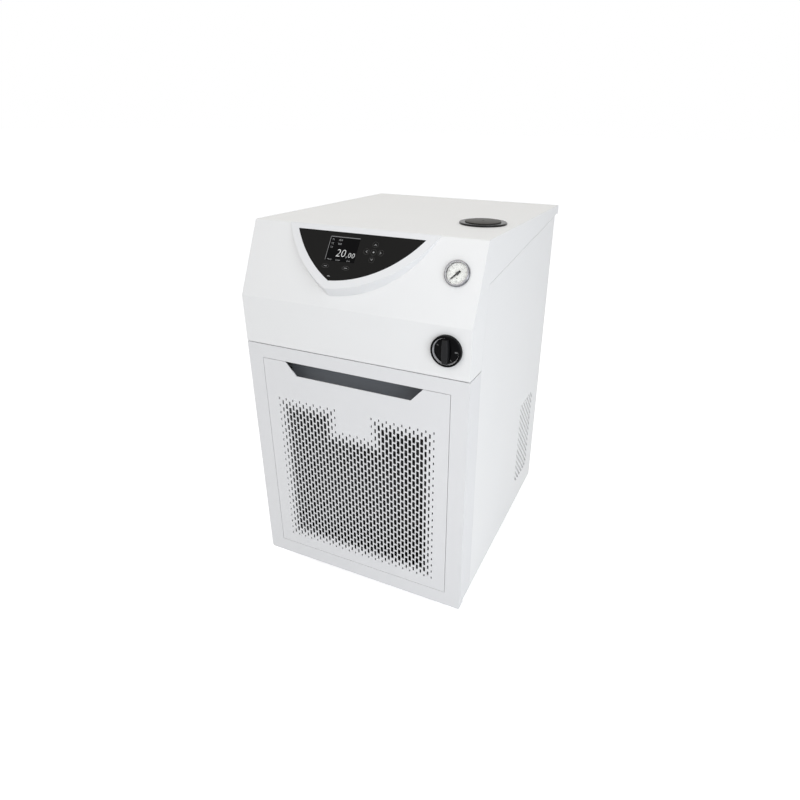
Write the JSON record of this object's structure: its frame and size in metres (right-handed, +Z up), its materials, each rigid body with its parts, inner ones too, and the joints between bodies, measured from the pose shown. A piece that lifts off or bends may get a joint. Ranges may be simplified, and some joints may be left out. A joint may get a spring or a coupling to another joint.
{
  "type": "recirculating chiller",
  "caption": "Floor-standing recirculating chiller: sheet-metal housing on castors with sloping control face, pull-off slotted front grille, filler on top and pump ports at the rear.",
  "frame": {"origin": "on the floor under the middle of the whole machine", "axes": "+X to the right seen from the front, +Y to the rear, +Z up"},
  "size_m": [0.35, 0.46, 0.5993],
  "materials": {
    "housing_coat": "fine powder coat",
    "frame_coat": "fine powder coat",
    "galvanised": "galvanised sheet",
    "zinc_plate": "zinc plated",
    "brake_red": "moulded",
    "wheel_grey": "moulded tread",
    "fins": "thin fins",
    "copper": "drawn copper",
    "black_enamel": "black enamel",
    "rubber": "black rubber",
    "fan_plastic": "moulded",
    "motor_grey": "die cast",
    "stainless": "brushed stainless",
    "valve_brass": "turned brass",
    "lever_red": "dipped",
    "neck_black": "fine moulded texture",
    "cap_brown": "moulded",
    "bezel_white": "satin moulding",
    "key_foil": "satin foil",
    "display_black": "dark pane",
    "board_green": "laminate",
    "gauge_rim": "dark chrome",
    "dial_white": "printed dial",
    "clear_glass": "clear",
    "pointer_black": "black",
    "bright_ring": "bright"
  },
  "bodies": {
    "housing": {"hood": "housing_coat", "front_frame": "frame_coat", "left_side_panel": "housing_coat", "right_side_panel": "housing_coat", "rear_panel": "frame_coat", "housing_screws": "zinc_plate", "base_pan": "galvanised", "bath_shelf": "galvanised", "castor_plates": "zinc_plate", "condenser": "fins", "condenser_headers": "copper", "fan_shroud": "galvanised", "fan_bracket": "galvanised", "fan_motor": "motor_grey", "compressor": "black_enamel", "compressor_grommets": "rubber", "filter_drier": "copper", "refrigerant_lines": "copper", "capillary_tube": "copper", "tank": "stainless", "tank_lid": "stainless", "plate_evaporator": "stainless", "filler_neck": "neck_black", "pump_motor": "black_enamel", "pump_head": "stainless", "hoses": "rubber", "port_nozzles": "stainless", "overflow_spout": "stainless", "drain_valve": "valve_brass", "mains_inlet": "fan_plastic", "socket_plate": "fan_plastic", "control_bezel": "bezel_white", "key_foil": "key_foil", "display_pane": "display_black", "control_board": "board_green", "gauge_case": "gauge_rim", "gauge_dial": "dial_white", "gauge_glass": "clear_glass", "switch_collar": "neck_black", "switch_ring": "bright_ring", "switch_body": "fan_plastic"},
    "switch_knob": {"switch_knob": "neck_black"},
    "gauge_pointer": {"gauge_pointer": "pointer_black"},
    "filler_cap": {"filler_cap": "cap_brown", "cap_seal": "rubber"},
    "front_grille": {"front_grille": "frame_coat"},
    "fan": {"fan_rotor": "fan_plastic"},
    "drain_lever": {"drain_lever": "lever_red"},
    "fork_front_left": {"castor_fork_front_left": "zinc_plate"},
    "wheel_front_left": {"castor_wheel_front_left": "wheel_grey"},
    "brake_front_left": {"brake_lever_front_left": "brake_red"},
    "fork_front_right": {"castor_fork_front_right": "zinc_plate"},
    "wheel_front_right": {"castor_wheel_front_right": "wheel_grey"},
    "brake_front_right": {"brake_lever_front_right": "brake_red"},
    "fork_rear_left": {"castor_fork_rear_left": "zinc_plate"},
    "wheel_rear_left": {"castor_wheel_rear_left": "wheel_grey"},
    "fork_rear_right": {"castor_fork_rear_right": "zinc_plate"},
    "wheel_rear_right": {"castor_wheel_rear_right": "wheel_grey"}
  },
  "joints": [
    {"name": "switch_turn", "type": "hinge", "parent": "housing", "child": "switch_knob", "pos_m": [0.1425, -0.22, 0.4595], "axis": [0, 1, 0], "range_deg": [0, 90]},
    {"name": "pointer_swing", "type": "hinge", "parent": "housing", "child": "gauge_pointer", "pos_m": [0.142, -0.19182, 0.54987], "axis": [0, 0.9037, -0.4282], "range_deg": [0, 270], "stiffness_Nm_per_rad": 0.001},
    {"name": "cap_lift", "type": "slide", "parent": "housing", "child": "filler_cap", "axis": [0, 0, 1], "range_m": [0, 0.06]},
    {"name": "grille_pull", "type": "slide", "parent": "housing", "child": "front_grille", "axis": [0, -1, 0], "range_m": [0, 0.06]},
    {"name": "fan_spin", "type": "hinge", "parent": "housing", "child": "fan", "pos_m": [0, -0.125, 0.192], "axis": [0, 1, 0], "continuous": true},
    {"name": "drain_turn", "type": "hinge", "parent": "housing", "child": "drain_lever", "pos_m": [0.12, 0.198, 0.11], "axis": [0, 0, 1], "range_deg": [0, 90]},
    {"name": "swivel_front_left", "type": "hinge", "parent": "housing", "child": "fork_front_left", "pos_m": [-0.13, -0.164, 0.042], "axis": [0, 0, 1], "continuous": true},
    {"name": "roll_front_left", "type": "hinge", "parent": "fork_front_left", "child": "wheel_front_left", "pos_m": [-0.13, -0.15, 0.017], "axis": [1, 0, 0], "continuous": true},
    {"name": "brake_front_left", "type": "hinge", "parent": "fork_front_left", "child": "brake_front_left", "pos_m": [-0.13, -0.133, 0.033], "axis": [-1, 0, 0], "range_deg": [0, 25]},
    {"name": "swivel_front_right", "type": "hinge", "parent": "housing", "child": "fork_front_right", "pos_m": [0.13, -0.164, 0.042], "axis": [0, 0, 1], "continuous": true},
    {"name": "roll_front_right", "type": "hinge", "parent": "fork_front_right", "child": "wheel_front_right", "pos_m": [0.13, -0.15, 0.017], "axis": [1, 0, 0], "continuous": true},
    {"name": "brake_front_right", "type": "hinge", "parent": "fork_front_right", "child": "brake_front_right", "pos_m": [0.13, -0.133, 0.033], "axis": [-1, 0, 0], "range_deg": [0, 25]},
    {"name": "swivel_rear_left", "type": "hinge", "parent": "housing", "child": "fork_rear_left", "pos_m": [-0.13, 0.126, 0.042], "axis": [0, 0, 1], "continuous": true},
    {"name": "roll_rear_left", "type": "hinge", "parent": "fork_rear_left", "child": "wheel_rear_left", "pos_m": [-0.13, 0.14, 0.017], "axis": [1, 0, 0], "continuous": true},
    {"name": "swivel_rear_right", "type": "hinge", "parent": "housing", "child": "fork_rear_right", "pos_m": [0.13, 0.126, 0.042], "axis": [0, 0, 1], "continuous": true},
    {"name": "roll_rear_right", "type": "hinge", "parent": "fork_rear_right", "child": "wheel_rear_right", "pos_m": [0.13, 0.14, 0.017], "axis": [1, 0, 0], "continuous": true}
  ]
}
